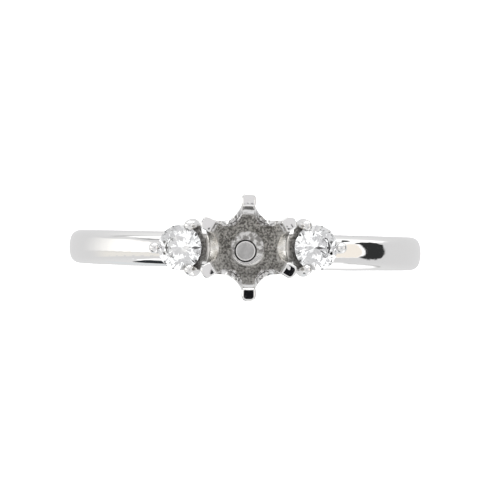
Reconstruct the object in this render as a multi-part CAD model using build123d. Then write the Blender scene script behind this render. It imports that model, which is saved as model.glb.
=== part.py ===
from build123d import *
from math import sin, cos, tan, radians, degrees, atan2, asin, sqrt, hypot
import os

os.makedirs("parts", exist_ok=True)

# Three-stone ring in white metal: plain shank, open six-prong centre head
# waiting for its stone, and a small round brilliant in a three-prong head
# on each side.  Sizes in mm.
#
# Working frame: finger axis along Z, centre head pointing to -Y.  At the end
# everything is turned about X by the angle at which the ring lies on its side.

head_lean = 1.1             # heads lean this much up out of the shank's plane
head_turn = 1.2             # and are turned this much about their own axis

# shank
finger_r = 8.675            # finger size 7, 17.35 mm across
shank_outer_r = 10.08
shank_width = 1.90
shank_dome_drop = 0.24      # outer face is this much lower at its two edges
shank_edge_r = 0.58
shank_inner_edge_r = 0.14

# centre head, heights measured outward from the finger axis
cup_profile = [             # outer tulip profile of the cup
    # height, radius
    (8.95, 0.76),
    (10.55, 1.76),
    (13.72, 2.88),
]
cup_bowl = [                # its inside
    # height, radius
    (9.70, 0.90),
    (10.70, 1.33),
    (14.20, 2.28),
]
pilot_hole_r = 0.48
groove_r = 0.61             # fine groove around the hole, outside and inside
groove_inner_r = 0.55
groove_depth = 0.10
pilot_hole_x = -0.11        # the hole sits a little off the head's axis
pilot_hole_y = -0.16

prong_tip_h = 13.89
prong_sections = [          # rounded rectangles, square to the head's axis
    # height, centre radius, radial size, width, corner radius
    (9.30, 0.84, 0.42, 0.60, 0.10),
    (10.80, 1.58, 0.66, 0.66, 0.18),
    (13.90, 2.55, 0.84, 0.79, 0.29),
]
prong_tip_round = 0.13
prong_tip_dome_r = 5.0      # tips are slightly domed
prongs = [                  # and filed by hand, each a little differently
    # angle about the head's axis, tip's tilt to the right, upwards, degrees
    (30, 0.3, 1.1),
    (90, 0.3, 1.7),
    (150, -2.9, 1.1),
    (210, -4.0, -2.5),
    (270, 0.0, -2.5),
    (330, 0.3, -3.0),
]
rim_round = 0.09

scallop_floor_h = 10.90     # lowest point of the cut between two prongs
scallop_rise = 1.70         # height of its rounded part
petal_half_width = 0.33     # metal left each side of a prong's centre line
side_scallop_lift = 0.45    # the two cuts towards the side stones are shallower

# low web that joins the cup to the head of each side stone
web_width = 1.50
web_top_h = 11.15
web_bottom_h = 9.40
web_to = 2.80               # distance from the centre head's axis
web_round = 0.42
web_depth = 0.15            # starts this deep in the cup's wall

# side stones
stone_r = 1.25
girdle_half = 0.05
table_ratio = 0.57
crown_angle = 34.5
star_ratio = 0.50
pavilion_angle = 40.8
lower_half_ratio = 0.77
stone_gap = 0.03

# side heads, placed on the shank left and right of the centre head
side_angle = 18.7           # from the centre head's axis, about the finger axis
side_lean = 20.0            # lean of the stone's own axis
side_girdle_r = 11.66       # girdle centre from the finger axis

seat_profile = [            # round seat under the stone
    # height from girdle, radius
    (-1.95, 0.70),
    (-0.30, 1.21),
]
bridge_profile = [          # wall between the two prongs next to the centre head
    # height from girdle, radius
    (-1.75, 0.80),
    (-0.80, 1.30),
    (-0.25, 1.40),
]
bridge_half_angle = 60.0
side_prong_angles = [0.0, 119.0, 241.0]
side_prong_path = [
    # radius, height from girdle
    (0.58, -2.00),
    (1.20, -1.00),
    (1.48, -0.15),
    (1.38, 0.28),
]
side_prong_r = 0.31


def make_shank():
    half = shank_width / 2
    edge = shank_outer_r - shank_dome_drop
    outline = [
        Line((finger_r, -half), (finger_r, half)),
        Line((finger_r, half), (edge, half)),
        ThreePointArc((edge, half), (shank_outer_r, 0), (edge, -half)),
        Line((edge, -half), (finger_r, -half)),
    ]
    section = make_face(outline)
    outer = section.vertices().sort_by(Axis.X)[-2:]
    section = fillet(outer, shank_edge_r)
    inner = section.vertices().sort_by(Axis.X)[:2]
    section = fillet(inner, shank_inner_edge_r)
    return revolve(Plane.XZ * section, Axis.Z, 360)


def make_bowl(grow=0.0):
    """The hollow inside the cup, grown by so much."""
    (h0, r0), (h1, r1), (h2, r2) = [(h, r + grow) for h, r in cup_bowl]
    outline = [
        Line((0, h0 - grow), (r0, h0 - grow)),
        ThreePointArc((r0, h0 - grow), (r1, h1), (r2, h2)),
        Line((r2, h2), (r2, h2 + 1)),
        Line((r2, h2 + 1), (0, h2 + 1)),
        Line((0, h2 + 1), (0, h0 - grow)),
    ]
    return Rot(0, 0, 30) * revolve(Plane.XZ * make_face(outline), Axis.Z, 360)


def make_cup():
    (h0, r0), (h1, r1), (h2, r2) = cup_profile
    outline = [
        Line((0, h0), (r0, h0)),
        ThreePointArc((r0, h0), (r1, h1), (r2, h2)),
        Line((r2, h2), (0, h2)),
        Line((0, h2), (0, h0)),
    ]
    cup = Rot(0, 0, 30) * revolve(Plane.XZ * make_face(outline), Axis.Z, 360)
    cup -= make_bowl()
    for k in range(len(prongs)):
        lift = side_scallop_lift if k % 3 == 0 else 0
        cup -= Rot(0, 0, 60 * k) * (Pos(0, 0, lift) * make_scallop())
    rim = [e for e in cup.edges()
           if e.length > 1.5 and e.center().Z > scallop_floor_h - 0.3 and hypot(e.center().X, e.center().Y) > 1.0]
    return fillet(rim, rim_round)


def make_scallop():
    """U-shaped cut that widens outward, centred on the +X direction."""
    half_step = radians(180 / len(prongs))
    apex = petal_half_width / sin(half_step)
    faces = []
    for reach in (apex + 0.12, 3.6):
        half = (reach - apex) * tan(half_step)
        top = 14.5
        side = scallop_floor_h + scallop_rise
        outline = [
            EllipticalCenterArc((0, side), half, scallop_rise, start_angle=180, arc_size=180),
            Line((half, side), (half, top)),
            Line((half, top), (-half, top)),
            Line((-half, top), (-half, side)),
        ]
        here = Plane(origin=(reach, 0, 0), x_dir=(0, 1, 0), z_dir=(1, 0, 0))
        faces.append(here * make_face(outline))
    return loft(faces, ruled=True)


def make_prong(angle, tilt_right, tilt_up):
    """One prong of the centre head."""
    a = radians(angle)
    out = radians(tilt_right * cos(a) + tilt_up * sin(a))
    aside = radians(tilt_up * cos(a) - tilt_right * sin(a))
    faces = []
    for height, centre, radial, width, corner in prong_sections:
        faces.append(Pos(centre, 0, height) * RectangleRounded(radial, width, corner))
    centre = prong_sections[-1][1]
    dome = Pos(
        centre - prong_tip_dome_r * sin(out),
        -prong_tip_dome_r * sin(aside),
        prong_tip_h - prong_tip_dome_r,
    ) * Sphere(prong_tip_dome_r)
    prong = (loft(faces) & dome) - make_bowl()
    top = prong.faces().sort_by(Axis.Z)[-1]
    return Rot(0, 0, angle) * fillet(top.edges(), prong_tip_round)


def make_web():
    """Rounded web reaching from the cup's wall towards +X."""
    web = Pos(web_to / 2, 0, (web_top_h + web_bottom_h) / 2) * Box(web_to, web_width, web_top_h - web_bottom_h)
    ridges = [e for e in web.edges().filter_by(Axis.X) if e.center().Z > web_top_h - 0.01]
    return fillet(ridges, web_round) - make_bowl(web_depth)


def make_centre_head():
    head = make_cup()
    for k in range(2):
        head += Rot(0, 0, 180 * k) * make_web()
    for row in prongs:
        head += make_prong(*row)
    ring = Pos(0, 0, cup_bowl[0][0]) * (Cylinder(groove_r, 2 * groove_depth) - Cylinder(groove_inner_r, 2 * groove_depth))
    return head - Pos(pilot_hole_x, pilot_hole_y, 0) * ring


def facet_planes():
    """(azimuth, distance from the axis, height, slope angle, up or down) of each facet."""
    rows = []
    step = 22.5
    table_r = stone_r * table_ratio
    crown_h = (stone_r - table_r) * tan(radians(crown_angle))
    star_r = table_r * cos(radians(step)) + star_ratio * (stone_r - table_r * cos(radians(step)))
    star_z = (stone_r - star_r * cos(radians(step))) * tan(radians(crown_angle))
    star_slope = degrees(atan2(crown_h - star_z, star_r - table_r * cos(radians(step))))
    half_step = cos(radians(step / 2))
    upper_slope = degrees(atan2(star_z, (stone_r - star_r) * half_step))
    low_r = (1 - lower_half_ratio) * stone_r
    low_z = (stone_r - low_r * cos(radians(step))) * tan(radians(pavilion_angle))
    lower_slope = degrees(atan2(low_z, (stone_r - low_r) * half_step))
    for k in range(8):
        rows.append((45 * k, stone_r, girdle_half, crown_angle, 1))
        rows.append((45 * k, stone_r, -girdle_half, pavilion_angle, -1))
        rows.append((45 * k + step, star_r, girdle_half + star_z, star_slope, 1))
    for k in range(16):
        rows.append((step * k + step / 2, stone_r * half_step, girdle_half, upper_slope, 1))
        rows.append((step * k + step / 2, stone_r * half_step, -girdle_half, lower_slope, -1))
    return rows, crown_h


def make_stone():
    rows, crown_h = facet_planes()
    stone = Pos(0, 0, -0.3) * Cylinder(stone_r, 2.4)
    stone = stone.split(Plane(origin=(0, 0, girdle_half + crown_h)), keep=Keep.BOTTOM)
    for azimuth, reach, height, slope, side in rows:
        a, s = radians(azimuth), radians(slope)
        normal = (sin(s) * cos(a), sin(s) * sin(a), side * cos(s))
        point = (reach * cos(a), reach * sin(a), height)
        stone = stone.split(Plane(origin=point, z_dir=normal), keep=Keep.BOTTOM)
    return stone


def make_stone_room():
    """Room cut in the metal so that the stone keeps a small gap."""
    g = stone_gap
    depth = girdle_half + stone_r * tan(radians(pavilion_angle))
    outline = Polyline(
        (0, -depth - 1.5 * g),
        (stone_r + g, -girdle_half - 0.6 * g),
        (stone_r + g, girdle_half + 0.6 * g),
        (0.76 * stone_r + g, girdle_half + 0.27 + g),
        (0.57 * stone_r + g, girdle_half + 0.38 + g),
        (0, girdle_half + 0.38 + g),
        close=True,
    )
    return revolve(Plane.XZ * make_face(outline), Axis.Z, 360)


def make_side_head():
    """Three-prong head for the right-hand stone; girdle centre at the origin,
    stone's axis along Z, the centre head on the -X side."""
    (z0, r0), (z1, r1) = seat_profile
    head = revolve(Plane.XZ * make_face(Polyline((0, z0), (r0, z0), (r1, z1), (0, z1), close=True)), Axis.Z, 360)
    (z0, r0), (z1, r1), (z2, r2) = bridge_profile
    wall = revolve(Plane.XZ * make_face(Polyline((0, z0), (r0, z0), (r1, z1), (r2, z2), (0, z2), close=True)), Axis.Z,
                   2 * bridge_half_angle)
    head += Rot(0, 0, 180 - bridge_half_angle) * wall
    path_points = [(r, 0, z) for r, z in side_prong_path]
    path = Spline(*path_points)
    start = Plane(origin=path @ 0, z_dir=path % 0)
    rod = sweep(start * Circle(side_prong_r), path=path)
    for end in (path_points[0], path_points[-1]):
        rod += Pos(*end) * Sphere(side_prong_r)
    for angle in side_prong_angles:
        head += Rot(0, 0, angle) * rod
    return head - make_stone_room()


def rest_angle(shank, lowest_prong):
    """Lean at which the rear of the shank and the lowest prong both touch the table."""
    span = shank_outer_r + prong_tip_h
    angle = 4.0
    for _ in range(8):
        step = Rot(-angle, 0, 0)
        rise = (step * shank).bounding_box().min.Z - (step * lowest_prong).bounding_box().min.Z
        angle += degrees(rise / span)
    return angle


# placing: the head's own axis Z goes to -Y, its Y goes up; the heads were
# joined to the shank with a slight lean and turn
to_front = Rot(-head_lean, 0, 0) * Rot(90, 0, 0) * Rot(0, 0, head_turn)
right_place = Rot(0, side_angle, 0) * Pos(0, 0, side_girdle_r) * Rot(0, side_lean - side_angle, 0)
left_place = Rot(0, -side_angle, 0) * Pos(0, 0, side_girdle_r) * Rot(0, side_angle - side_lean, 0) * Rot(0, 0, 180)

shank = make_shank()
side_head = make_side_head()
lean_at_rest = rest_angle(shank, to_front * make_prong(*prongs[4]))
lie_down = Rot(-lean_at_rest, 0, 0)

body = shank - to_front * make_bowl(web_depth)
body += to_front * make_centre_head()
for place in (right_place, left_place):
    body += to_front * (place * side_head)
body -= Cylinder(finger_r, 6)
body -= to_front * (Pos(pilot_hole_x, pilot_hole_y, 9.2) * Cylinder(pilot_hole_r, 2.4))
for place in (right_place, left_place):
    body -= to_front * (place * make_stone_room())

assert len(body.solids()) == 1, "the metal must be one solid"
ring_body = lie_down * body.solids()[0]

stone = make_stone()
nodes = {
    "ring_body": ring_body,
    "side_stone_right": lie_down * (to_front * (right_place * stone)),
    "side_stone_left": lie_down * (to_front * (left_place * stone)),
}
for name, shape in nodes.items():
    export_step(shape, "parts/" + name + ".step")
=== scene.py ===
import bpy
import math
from mathutils import Matrix, Quaternion, Vector


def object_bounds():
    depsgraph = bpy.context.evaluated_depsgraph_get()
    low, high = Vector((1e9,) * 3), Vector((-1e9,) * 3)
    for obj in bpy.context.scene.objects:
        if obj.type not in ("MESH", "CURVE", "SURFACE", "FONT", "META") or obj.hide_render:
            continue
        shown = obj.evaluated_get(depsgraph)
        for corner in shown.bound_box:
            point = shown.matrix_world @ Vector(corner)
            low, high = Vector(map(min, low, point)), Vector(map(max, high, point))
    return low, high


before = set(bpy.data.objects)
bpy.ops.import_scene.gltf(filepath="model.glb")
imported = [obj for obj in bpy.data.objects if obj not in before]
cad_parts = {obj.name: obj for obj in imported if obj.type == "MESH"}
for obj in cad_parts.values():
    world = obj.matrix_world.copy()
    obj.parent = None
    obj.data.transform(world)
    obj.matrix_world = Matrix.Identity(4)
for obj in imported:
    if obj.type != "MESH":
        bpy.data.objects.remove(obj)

cad_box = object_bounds()
scene = bpy.context.scene
MM = 0.001

# how the ring lies and how its heads sit on the shank, degrees
REST_LEAN = 4.2295
HEAD_LEAN = 1.1
HEAD_TURN = 1.2

# the bowl of the centre head, in the head's own axes, mm
BOWL = ((9.70, 0.90), (10.70, 1.33), (14.20, 2.28))     # height, radius
FLOOR_H = 9.70
HOLE = (-0.11, -0.16)           # centre of the hole in its floor
GROOVE = (0.55, 0.61)           # fine groove around the hole, radii

# where a side stone's girdle centre sits in the same axes, and its lean
STONE_X, STONE_H, STONE_LEAN = 3.738, 11.045, 20.0


# ---------------------------------------------------------------- node helpers

def put(t, socket, value):
    if isinstance(value, bpy.types.NodeSocket):
        t.links.new(value, socket)
    else:
        socket.default_value = value


def calc(t, op, a, b=None, clamp=False):
    n = t.nodes.new("ShaderNodeMath")
    n.operation = op
    n.use_clamp = clamp
    put(t, n.inputs[0], a)
    if b is not None:
        put(t, n.inputs[1], b)
    return n.outputs[0]


def ramp(t, value, low, high, to_low=0.0, to_high=1.0):
    """Smooth step of value from low to high."""
    n = t.nodes.new("ShaderNodeMapRange")
    n.interpolation_type = "SMOOTHSTEP"
    n.inputs["From Min"].default_value = low
    n.inputs["From Max"].default_value = high
    n.inputs["To Min"].default_value = to_low
    n.inputs["To Max"].default_value = to_high
    put(t, n.inputs["Value"], value)
    return n.outputs["Result"]


def between(t, value, low, high, soft):
    rise = ramp(t, value, low - soft, low + soft)
    fall = ramp(t, value, high - soft, high + soft, 1.0, 0.0)
    return calc(t, "MULTIPLY", rise, fall)


def both(t, *masks):
    out = masks[0]
    for m in masks[1:]:
        out = calc(t, "MULTIPLY", out, m)
    return out


def blend_colour(t, factor, a, b):
    n = t.nodes.new("ShaderNodeMix")
    n.data_type = "RGBA"
    put(t, n.inputs[0], factor)
    put(t, n.inputs[6], a)
    put(t, n.inputs[7], b)
    return n.outputs[2]


def blend_value(t, factor, a, b):
    n = t.nodes.new("ShaderNodeMix")
    n.data_type = "FLOAT"
    put(t, n.inputs[0], factor)
    put(t, n.inputs[2], a)
    put(t, n.inputs[3], b)
    return n.outputs[0]


def noise(t, coords, scale, detail=3.0, rough=0.55):
    n = t.nodes.new("ShaderNodeTexNoise")
    n.inputs["Scale"].default_value = scale
    n.inputs["Detail"].default_value = detail
    n.inputs["Roughness"].default_value = rough
    t.links.new(coords, n.inputs["Vector"])
    return n.outputs["Fac"]


def tree(name):
    m = bpy.data.materials.new(name)
    m.use_nodes = True
    return m, m.node_tree, m.node_tree.nodes["Principled BSDF"]


# ---------------------------------------------------------------- materials

def own_axes(t, coords, lean, turned):
    """x, y and height in a head's or the shank's own axes, mm."""
    turn = (Matrix.Rotation(math.radians(90 - REST_LEAN - lean), 4, "X")
            @ Matrix.Rotation(math.radians(turned), 4, "Z")).inverted()
    mp = t.nodes.new("ShaderNodeMapping")
    mp.vector_type = "POINT"
    mp.inputs["Rotation"].default_value = turn.to_euler("XYZ")
    t.links.new(coords, mp.inputs["Vector"])
    mm = t.nodes.new("ShaderNodeVectorMath")
    mm.operation = "SCALE"
    mm.inputs["Scale"].default_value = 1000.0
    t.links.new(mp.outputs["Vector"], mm.inputs[0])
    sep = t.nodes.new("ShaderNodeSeparateXYZ")
    t.links.new(mm.outputs[0], sep.inputs[0])
    return sep.outputs[0], sep.outputs[1], sep.outputs[2]


def length(t, a, b):
    return calc(t, "SQRT", calc(t, "ADD", calc(t, "MULTIPLY", a, a), calc(t, "MULTIPLY", b, b)))


def bowl_circle():
    (ax, ay), (bx, by), (cx, cy) = BOWL
    d = 2 * (ax * (by - cy) + bx * (cy - ay) + cx * (ay - by))
    a2, b2, c2 = ax * ax + ay * ay, bx * bx + by * by, cx * cx + cy * cy
    h0 = (a2 * (by - cy) + b2 * (cy - ay) + c2 * (ay - by)) / d
    r0 = (a2 * (cx - bx) + b2 * (ax - cx) + c2 * (bx - ax)) / d
    return h0, r0, math.hypot(ax - h0, ay - r0)


def metal_material():
    m, t, bsdf = tree("white_metal")
    coords = t.nodes.new("ShaderNodeTexCoord").outputs["Object"]
    x, y, h = own_axes(t, coords, HEAD_LEAN, HEAD_TURN)
    r = length(t, x, y)

    # unpolished casting: inside the bowl and up the backs of the prongs
    h0, r0, big = bowl_circle()
    dh = calc(t, "SUBTRACT", h, h0)
    wall = calc(t, "ADD", calc(t, "SQRT", calc(t, "SUBTRACT", big * big, calc(t, "MULTIPLY", dh, dh))), r0)
    depth = calc(t, "SUBTRACT", wall, r)
    inside = ramp(t, depth, -0.07, -0.02)
    top = calc(t, "ADD", h, calc(t, "MULTIPLY", y, 0.20))
    top = calc(t, "SUBTRACT", top, ramp(t, calc(t, "ABSOLUTE", x), 0.7, 1.3, 0.0, 0.85))   # higher on the four corner prongs
    bowl = both(t, inside, ramp(t, h, 9.45, 9.55), ramp(t, top, 12.2, 12.8, 1.0, 0.0))
    # the saddles between bowl and side stones: matt but for the top of the web
    ax = calc(t, "ABSOLUTE", x)
    ay = calc(t, "ABSOLUTE", y)
    saddle = both(t, between(t, ax, 1.45, 2.65, 0.05), ramp(t, h, 12.2, 12.6, 1.0, 0.0), ramp(t, ay, 1.45, 1.6, 1.0, 0.0),
                  ramp(t, depth, -1.3, -1.2), ramp(t, h, 9.9, 10.5))
    web = both(t, between(t, ax, 1.60, 2.22, 0.07), ramp(t, ay, 0.70, 0.90, 1.0, 0.0), ramp(t, h, 9.9, 10.5))
    # and the narrow valleys round the inner side of each side stone
    lean = math.radians(STONE_LEAN)
    dx = calc(t, "SUBTRACT", ax, STONE_X)
    dz = calc(t, "SUBTRACT", h, STONE_H)
    across = calc(t, "SUBTRACT", calc(t, "MULTIPLY", dx, math.cos(lean)), calc(t, "MULTIPLY", dz, math.sin(lean)))
    along = calc(t, "ADD", calc(t, "MULTIPLY", dx, math.sin(lean)), calc(t, "MULTIPLY", dz, math.cos(lean)))
    reach = length(t, across, y)
    valley = both(t, between(t, reach, 1.0, 1.58, 0.03), ramp(t, across, -0.75, -0.65, 1.0, 0.0),
                  between(t, along, -1.6, -0.02, 0.03))
    cast = calc(t, "MAXIMUM", calc(t, "MAXIMUM", calc(t, "MAXIMUM", bowl, saddle), valley), web)

    # the floor around the hole, rubbed lighter, and the groove in it, painted dark as shade
    hx = calc(t, "SUBTRACT", x, HOLE[0])
    hy = calc(t, "SUBTRACT", y, HOLE[1])
    ring = length(t, hx, hy)
    floor = both(t, bowl, ramp(t, h, FLOOR_H + 0.03, FLOOR_H + 0.22, 1.0, 0.0))
    groove = both(t, between(t, ring, GROOVE[0] - 0.01, GROOVE[1] + 0.01, 0.012), ramp(t, h, 9.0, 9.1),
                  ramp(t, h, 9.9, 10.0, 1.0, 0.0))
    lip = both(t, ramp(t, ring, GROOVE[0] - 0.03, GROOVE[0] - 0.01, 1.0, 0.0), ramp(t, h, 9.0, 9.1), ramp(t, h, 9.9, 10.0, 1.0, 0.0))

    # a bright patch low on the floor, a painted highlight on a smoother finish, and the line of shade under the rim
    painted_highlight = both(t, bowl, ramp(t, h, FLOOR_H + 0.12, FLOOR_H + 0.34, 1.0, 0.0), ramp(t, hy, -0.32, -0.12, 1.0, 0.0),
                ramp(t, ring, 0.62, 0.66))
    rim = both(t, between(t, depth, -0.215, -0.165, 0.012), ramp(t, h, 12.1, 12.4, 1.0, 0.0), ramp(t, h, 10.4, 10.6))

    grain = noise(t, coords, 6800, 5, 0.72)
    drawn = t.nodes.new("ShaderNodeCombineXYZ")     # drawn out along the bowl's steep wall
    for socket, value in zip(drawn.inputs, (x, y, calc(t, "MULTIPLY", h, 0.25))):
        put(t, socket, value)
    speckle = ramp(t, noise(t, drawn.outputs[0], 8.5, 3, 0.55), 0.42, 0.58)
    cloud = ramp(t, noise(t, coords, 2600, 2), 0.42, 0.58)
    flakes = ramp(t, noise(t, coords, 4300, 3, 0.6), 0.42, 0.60)
    drift = ramp(t, noise(t, coords, 1200, 1), 0.38, 0.62)

    dull_with_painted_light = blend_colour(t, speckle, (0.23, 0.22, 0.205, 1), (0.98, 0.96, 0.93, 1))
    # painted shade: the casting's colour darkens towards the lower side of the cup
    dull_with_painted_light = blend_colour(t, ramp(t, y, -1.5, 0.3, 0.42, 0.0), dull_with_painted_light, (0.13, 0.125, 0.12, 1))
    dull_with_painted_light = blend_colour(t, calc(t, "MULTIPLY", drift, 0.28), dull_with_painted_light, (0.16, 0.15, 0.14, 1))
    dull_with_painted_light = blend_colour(t, calc(t, "MULTIPLY", calc(t, "SUBTRACT", 1.0, drift), 0.20), dull_with_painted_light, (1.0, 0.98, 0.95, 1))
    # painted shade: the narrow valleys round the side stones are darkened in the colour, besides being matt
    dull_with_painted_light = blend_colour(t, calc(t, "MULTIPLY", valley, 0.60), dull_with_painted_light, (0.10, 0.095, 0.09, 1))
    dull_with_painted_light = blend_colour(t, web, dull_with_painted_light, blend_colour(t, cloud, (0.80, 0.78, 0.74, 1), (1.0, 0.985, 0.95, 1)))
    light = blend_colour(t, flakes, (0.36, 0.35, 0.335, 1), (0.96, 0.955, 0.94, 1))
    dull_with_painted_light = blend_colour(t, floor, dull_with_painted_light, light)
    # painted highlight: the bright patch low on the floor of the bowl
    dull_with_painted_light = blend_colour(t, painted_highlight, dull_with_painted_light, (0.98, 0.975, 0.96, 1))
    # painted shade: the groove round the hole is painted near black
    dull_with_painted_light = blend_colour(t, groove, dull_with_painted_light, (0.03, 0.03, 0.03, 1))
    dull_with_painted_light = blend_colour(t, lip, dull_with_painted_light, (0.95, 0.945, 0.93, 1))

    # polished outside: a few pinholes and faint handling marks
    cells = t.nodes.new("ShaderNodeTexVoronoi")
    cells.inputs["Scale"].default_value = 900
    t.links.new(coords, cells.inputs["Vector"])
    pick = t.nodes.new("ShaderNodeSeparateColor")
    t.links.new(cells.outputs["Color"], pick.inputs[0])
    hole = both(t, ramp(t, cells.outputs["Distance"], 0.05, 0.09, 1.0, 0.0), ramp(t, pick.outputs[0], 0.80, 0.84))
    polish = blend_colour(t, calc(t, "MULTIPLY", hole, 0.45), (0.87, 0.865, 0.86, 1), (0.45, 0.43, 0.41, 1))
    # the lips of the bowl are only half polished: dark pits and a line of shade
    worn = both(t, between(t, depth, -0.42, 0.0, 0.05), ramp(t, h, 12.1, 12.5, 1.0, 0.0), ramp(t, h, 10.2, 10.6),
                ramp(t, cloud, 0.2, 0.7, 0.62, 0.0))
    polish = blend_colour(t, worn, polish, (0.16, 0.15, 0.14, 1))
    polish = blend_colour(t, calc(t, "MULTIPLY", rim, 0.85), polish, (0.08, 0.075, 0.07, 1))
    # the inside of the finger hole is satin
    sx, sy, sh = own_axes(t, coords, 0.0, 0.0)
    bore = ramp(t, length(t, sx, sh), 8.70, 8.73, 1.0, 0.0)
    haze = ramp(t, noise(t, coords, 2400, 3), 0.35, 0.65)
    polish = blend_colour(t, bore, polish, blend_colour(t, haze, (0.58, 0.575, 0.57, 1), (0.74, 0.735, 0.73, 1)))
    t.links.new(blend_colour(t, cast, polish, dull_with_painted_light), bsdf.inputs["Base Color"])
    bsdf.inputs["Metallic"].default_value = 1.0

    marks = t.nodes.new("ShaderNodeMapping")
    marks.inputs["Scale"].default_value = (1.0, 1.0, 9.0)
    t.links.new(coords, marks.inputs["Vector"])
    hair = noise(t, marks.outputs["Vector"], 1800, 3)
    gloss = ramp(t, hair, 0.35, 0.7, 0.035, 0.075)
    gloss = blend_value(t, bore, gloss, 0.30)
    matt = blend_value(t, painted_highlight, blend_value(t, floor, 0.55, 0.34), 0.24)
    matt = blend_value(t, web, matt, 0.26)
    matt = blend_value(t, lip, matt, 0.16)
    t.links.new(blend_value(t, cast, gloss, matt), bsdf.inputs["Roughness"])

    relief = blend_value(t, cast, calc(t, "MULTIPLY", calc(t, "SUBTRACT", hair, hole), 0.02), grain)
    bump = t.nodes.new("ShaderNodeBump")
    bump.inputs["Distance"].default_value = 0.04 * MM
    t.links.new(relief, bump.inputs["Height"])
    t.links.new(blend_value(t, painted_highlight, blend_value(t, cast, 0.25, 0.7), 0.1), bump.inputs["Strength"])
    t.links.new(bump.outputs["Normal"], bsdf.inputs["Normal"])
    return m


def stone_material():
    m, t, bsdf = tree("clear_stone")
    coords = t.nodes.new("ShaderNodeTexCoord").outputs["Object"]
    haze = noise(t, coords, 1400, 2)
    t.links.new(blend_colour(t, ramp(t, haze, 0.3, 0.7), (0.89, 0.89, 0.895, 1), (0.79, 0.80, 0.81, 1)), bsdf.inputs["Base Color"])
    bsdf.inputs["Transmission Weight"].default_value = 1.0
    bsdf.inputs["IOR"].default_value = 2.2
    t.links.new(ramp(t, haze, 0.3, 0.7, 0.0, 0.015), bsdf.inputs["Roughness"])
    return m


metal = metal_material()
stone = stone_material()
for name, material in (("ring_body", metal), ("side_stone_left", stone), ("side_stone_right", stone)):
    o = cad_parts[name]
    for s in o.material_slots:
        s.material = material
    if not o.material_slots:
        o.data.materials.append(material)

# ---------------------------------------------------------------- floor

bpy.ops.mesh.primitive_plane_add(size=1.2, location=(0, 0.2, cad_box[0][2]))
floor = bpy.context.object
floor.name = "floor"
m, t, bsdf = tree("floor")
bsdf.inputs["Base Color"].default_value = (0.95, 0.95, 0.95, 1)
bsdf.inputs["Roughness"].default_value = 0.8
bsdf.inputs["Emission Color"].default_value = (1, 1, 1, 1)
bsdf.inputs["Emission Strength"].default_value = 0.55
floor.data.materials.append(m)
floor.visible_glossy = False

# ---------------------------------------------------------------- studio

# Soft boxes and dark flags around the ring: azimuth from the camera's side
# towards the right, and height above the table, both in degrees.
STUDIO = (
    # az from, to, el from, to, edge az, edge el, (r, g, b)
    # left window, fading out towards the back
    (-104, -42, -8.6, 19, 32, 2, (1.45, 1.43, 1.38)),
    (-112, -50, -16.2, -10, 14, 1.2, (0.93, 0.905, 0.855)),
    (-112, -50, -10.6, -8.8, 14, 0.7, (0.83, 0.81, 0.77)),
    (-84, -50, 30, 34.5, 10, 1.2, (0.20, 0.20, 0.20)),
    (-118, -50, 38, 62, 8, 2, (1.30, 1.30, 1.30)),
    (-121, -108, 30, 80, 3, 4, (0.64, 0.64, 0.64)),
    (-178, -132, -88, -40, 3, 4, (0.79, 0.82, 0.84)),
    # right: white ceiling over a dark doorway
    (73, 128, 29, 62, 4, 3, (1.35, 1.35, 1.35)),
)
# Screens with rounded corners, later rows in front.
SCREENS = (
    # az, el, half az, half el, roundness, edge, slant, bow, tilt, (r, g, b)
    (0, 7, 24, 15, 2.5, 0.30, 0, 0, 0, (0.815, 0.805, 0.815)),
    # left: a bright line and under it the dark table edge, low down
    (-70, -33.7, 22, 3.6, 4.0, 0.25, 0, 0, 0.25, (1.5, 1.5, 1.5)),
    (-96, -64.4, 26, 20, 6.0, 0.04, 0, 0, 0.30, (0.03, 0.034, 0.038)),
    # right: the paper below with a thin shadow along it, the doorway, its screens
    (105, -58.4, 45, 20, 8.0, 0.05, 0, 0, -0.20, (1.25, 1.25, 1.25)),
    (105, -36.2, 30, 1.6, 2.5, 0.40, 0, 0, -0.20, (0.60, 0.60, 0.60)),
    (91, 44.6, 15, 2.2, 3.0, 0.30, 0, 0, 0.43, (0.04, 0.04, 0.04)),
    (90.5, 10.5, 13.5, 23.8, 3.0, 0.06, 0.05, 0.006, 0, (0.034, 0.036, 0.036)),
    (64.8, 6.5, 19.3, 17.5, 4.5, 0.04, 0.10, 0, 0, (1.35, 1.35, 1.35)),
    (69.5, 5.5, 12.6, 16.0, 4.0, 0.05, 0.10, 0, 0, (1.03, 0.965, 0.88)),
)
LENS = (1.45, 0.5, 7.0)         # azimuth, height and radius of the dark lens, degrees


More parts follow.
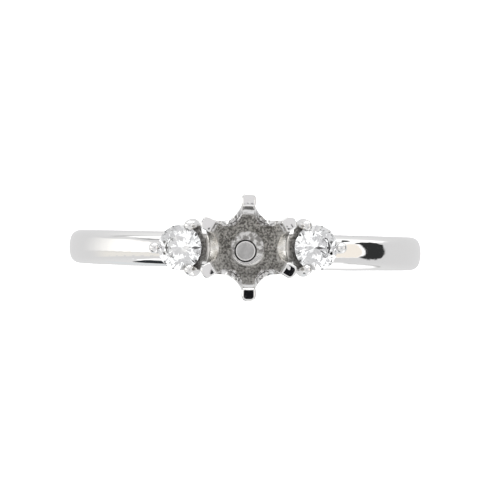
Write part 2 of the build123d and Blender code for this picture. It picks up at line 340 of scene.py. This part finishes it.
def build_world():
    world = bpy.data.worlds.new("studio")
    scene.world = world
    world.use_nodes = True
    t = world.node_tree
    bg = t.nodes["Background"]
    sep = t.nodes.new("ShaderNodeSeparateXYZ")
    t.links.new(t.nodes.new("ShaderNodeTexCoord").outputs["Generated"], sep.inputs[0])
    x, y, z = sep.outputs
    deg = math.degrees(1)
    az = calc(t, "MULTIPLY", calc(t, "ARCTAN2", x, calc(t, "MULTIPLY", y, -1.0)), deg)
    el = calc(t, "MULTIPLY", calc(t, "ARCSINE", z), deg)

    up = ramp(t, el, 15, 70)
    down = ramp(t, el, -60, -12, 1.0, 0.0)
    colour = blend_colour(t, up, (0.76, 0.76, 0.765, 1), (0.98, 0.98, 0.98, 1))
    colour = blend_colour(t, down, colour, (0.86, 0.86, 0.86, 1))
    for a0, a1, e0, e1, sa, se, rgb in STUDIO:
        mask = both(t, between(t, az, a0, a1, sa), between(t, el, e0, e1, se))
        colour = blend_colour(t, mask, colour, (*rgb, 1))
    for a0, e0, ha, he, power, edge, slant, bow, tilt, rgb in SCREENS:
        da, de = calc(t, "SUBTRACT", az, a0), calc(t, "SUBTRACT", el, e0)
        a = calc(t, "SUBTRACT", da, calc(t, "MULTIPLY", de, slant))
        a = calc(t, "SUBTRACT", a, calc(t, "MULTIPLY", calc(t, "MULTIPLY", el, el), bow))
        e = calc(t, "SUBTRACT", de, calc(t, "MULTIPLY", da, tilt))
        a = calc(t, "POWER", calc(t, "ABSOLUTE", calc(t, "DIVIDE", a, ha)), power)
        e = calc(t, "POWER", calc(t, "ABSOLUTE", calc(t, "DIVIDE", e, he)), power)
        out = calc(t, "POWER", calc(t, "ADD", a, e), 1 / power)
        colour = blend_colour(t, ramp(t, out, 1 - edge, 1 + edge, 1.0, 0.0), colour, (*rgb, 1))
    da = calc(t, "SUBTRACT", az, LENS[0])
    de = calc(t, "SUBTRACT", el, LENS[1])
    away = calc(t, "SQRT", calc(t, "ADD", calc(t, "MULTIPLY", da, da), calc(t, "MULTIPLY", de, de)))
    colour = blend_colour(t, ramp(t, away, LENS[2] - 0.5, LENS[2] + 0.5, 1.0, 0.0), colour, (0.01, 0.01, 0.012, 1))
    t.links.new(colour, bg.inputs["Color"])

    # the backdrop itself is plain white
    white = t.nodes.new("ShaderNodeBackground")
    white.inputs["Color"].default_value = (1, 1, 1, 1)
    white.inputs["Strength"].default_value = 1.15
    path = t.nodes.new("ShaderNodeLightPath")
    mixer = t.nodes.new("ShaderNodeMixShader")
    t.links.new(path.outputs["Is Camera Ray"], mixer.inputs[0])
    t.links.new(bg.outputs[0], mixer.inputs[1])
    t.links.new(white.outputs[0], mixer.inputs[2])
    t.links.new(mixer.outputs[0], t.nodes["World Output"].inputs["Surface"])


build_world()


def direction(azimuth, elevation):
    a, e = math.radians(azimuth), math.radians(elevation)
    return Vector((math.sin(a) * math.cos(e), -math.cos(a) * math.cos(e), math.sin(e)))


def lamp(name, azimuth, elevation, distance, size, power):
    data = bpy.data.lights.new(name, "AREA")
    data.shape = "DISK"
    data.size = size
    data.energy = power
    o = bpy.data.objects.new(name, data)
    scene.collection.objects.link(o)
    d = direction(azimuth, elevation)
    o.location = d * distance
    o.rotation_mode = "QUATERNION"
    o.rotation_quaternion = d.to_track_quat("Z", "Y")
    return o


lamp("top_light", 20, 82, 0.6, 0.5, 1.0)

# ---------------------------------------------------------------- camera

cam_data = bpy.data.cameras.new("camera")
cam = bpy.data.objects.new("camera", cam_data)
scene.collection.objects.link(cam)
cam_data.sensor_width = 36
cam_data.lens = 313.76
cam_data.clip_start = 0.01
cam_data.clip_end = 10
cam_data.shift_x = 0.00994
d = direction(-0.816, REST_LEAN + 0.434)
cam.location = d * 0.25
cam.rotation_mode = "QUATERNION"
cam.rotation_quaternion = (-d).to_track_quat("-Z", "Y") @ Quaternion((0, 0, 1), math.radians(1.362))
scene.camera = cam

scene.view_settings.view_transform = "Standard"
